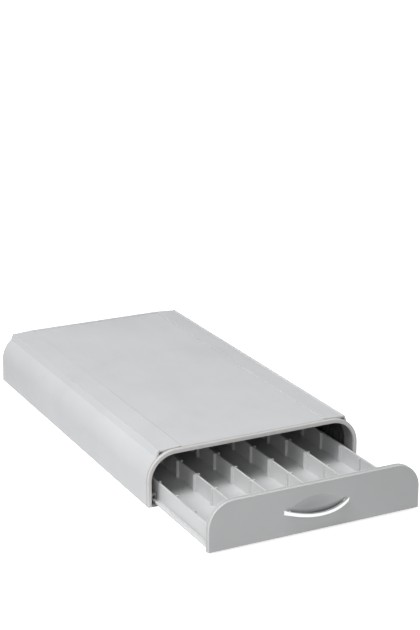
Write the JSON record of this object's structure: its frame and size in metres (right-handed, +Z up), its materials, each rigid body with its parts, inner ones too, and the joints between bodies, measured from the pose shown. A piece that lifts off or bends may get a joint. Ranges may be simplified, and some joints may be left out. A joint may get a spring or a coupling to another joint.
{
  "type": "coffee pod drawer",
  "caption": "Low countertop housing with a flat load-bearing deck and an arched front, holding a slide-out drawer of capsule lanes with a bow handle.",
  "frame": {"origin": "on the table, under the middle of the housing, leaving the pulled-out drawer aside", "axes": "+Z up; -Y out of the front, the way the drawer opens; +X to the right as seen from the front"},
  "size_m": [0.228, 0.5228, 0.0554],
  "materials": {
    "shell_plastic": "fine satin",
    "frame_plastic": "satin",
    "base_plastic": "matt",
    "runner_plastic": "satin",
    "tray_plastic": "satin",
    "divider_plastic": "satin",
    "panel_plastic": "smooth satin",
    "chrome_plate": "polished plating on plastic",
    "foot_rubber": "matt",
    "screw_steel": "zinc plated"
  },
  "bodies": {
    "housing": {"housing_shell": "shell_plastic", "front_frame": "frame_plastic", "base_plate": "base_plastic", "right_runner": "runner_plastic", "left_runner": "runner_plastic", "base_screws": "screw_steel", "foot_front_left": "foot_rubber", "foot_front_right": "foot_rubber", "foot_rear_left": "foot_rubber", "foot_rear_right": "foot_rubber"},
    "drawer": {"tray_floor": "tray_plastic", "right_side_wall": "tray_plastic", "left_side_wall": "tray_plastic", "tray_front_wall": "tray_plastic", "tray_rear_wall": "tray_plastic", "lane_divider_1": "divider_plastic", "lane_divider_2": "divider_plastic", "lane_divider_3": "divider_plastic", "lane_divider_4": "divider_plastic", "front_panel": "panel_plastic", "bow_handle": "chrome_plate", "handle_screws": "screw_steel", "panel_screws": "screw_steel"}
  },
  "joints": [
    {"name": "drawer_slide", "type": "slide", "parent": "housing", "child": "drawer", "axis": [0, -1, 0], "range_m": [-0.1178, 0.1822]}
  ]
}
